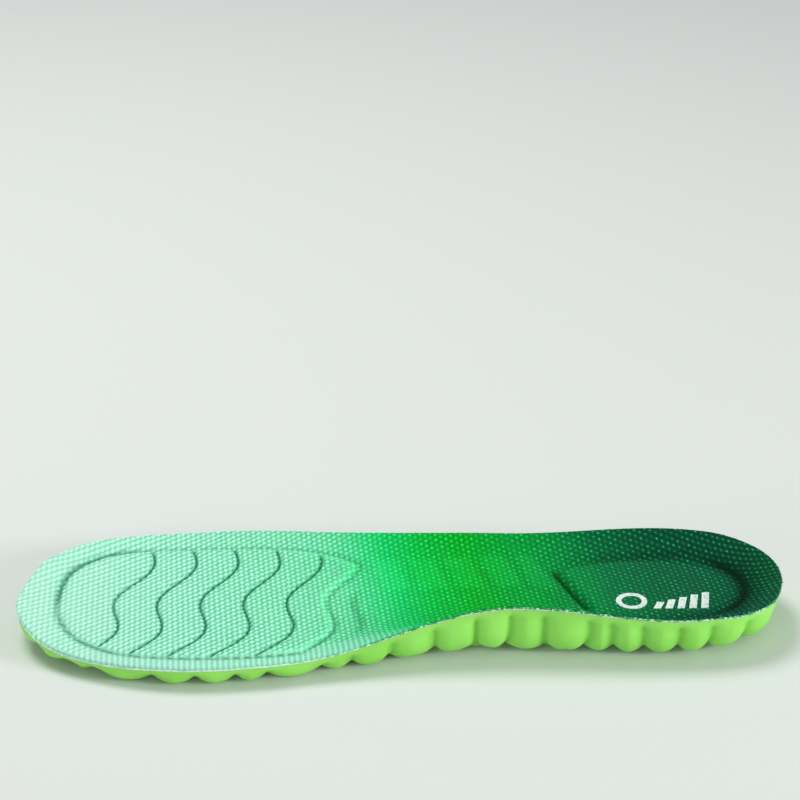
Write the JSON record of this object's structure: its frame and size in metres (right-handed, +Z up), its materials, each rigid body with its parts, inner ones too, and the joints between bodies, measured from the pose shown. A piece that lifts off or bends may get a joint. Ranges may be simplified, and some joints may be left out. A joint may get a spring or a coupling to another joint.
{
  "type": "cushioned insole",
  "caption": "Right-foot moulded foam insole with heel cup, arch support, pebbled perforated underside and a bonded printed mesh cover.",
  "frame": {"origin": "on the ground under the middle of the bounding box", "axes": "+X towards the heel, -X towards the toe, -Y towards the arch (inner) side, +Z up towards the foot"},
  "size_m": [0.2702, 0.0976, 0.022],
  "materials": {
    "foam": "moulded polyurethane foam with a satin skin, lime green",
    "film": "thin translucent hot-melt film, nearly white",
    "mesh": "knitted polyester mesh printed in a fade from pale mint at the toe to dark teal at the heel",
    "print": "heat-transferred white print film"
  },
  "bodies": {
    "root": {"foam_body": "foam", "backing_film": "film", "mesh_cover": "mesh", "print_ring": "print", "print_bar_1": "print", "print_bar_2": "print", "print_bar_3": "print", "print_bar_4": "print", "print_bar_5": "print"}
  },
  "joints": []
}
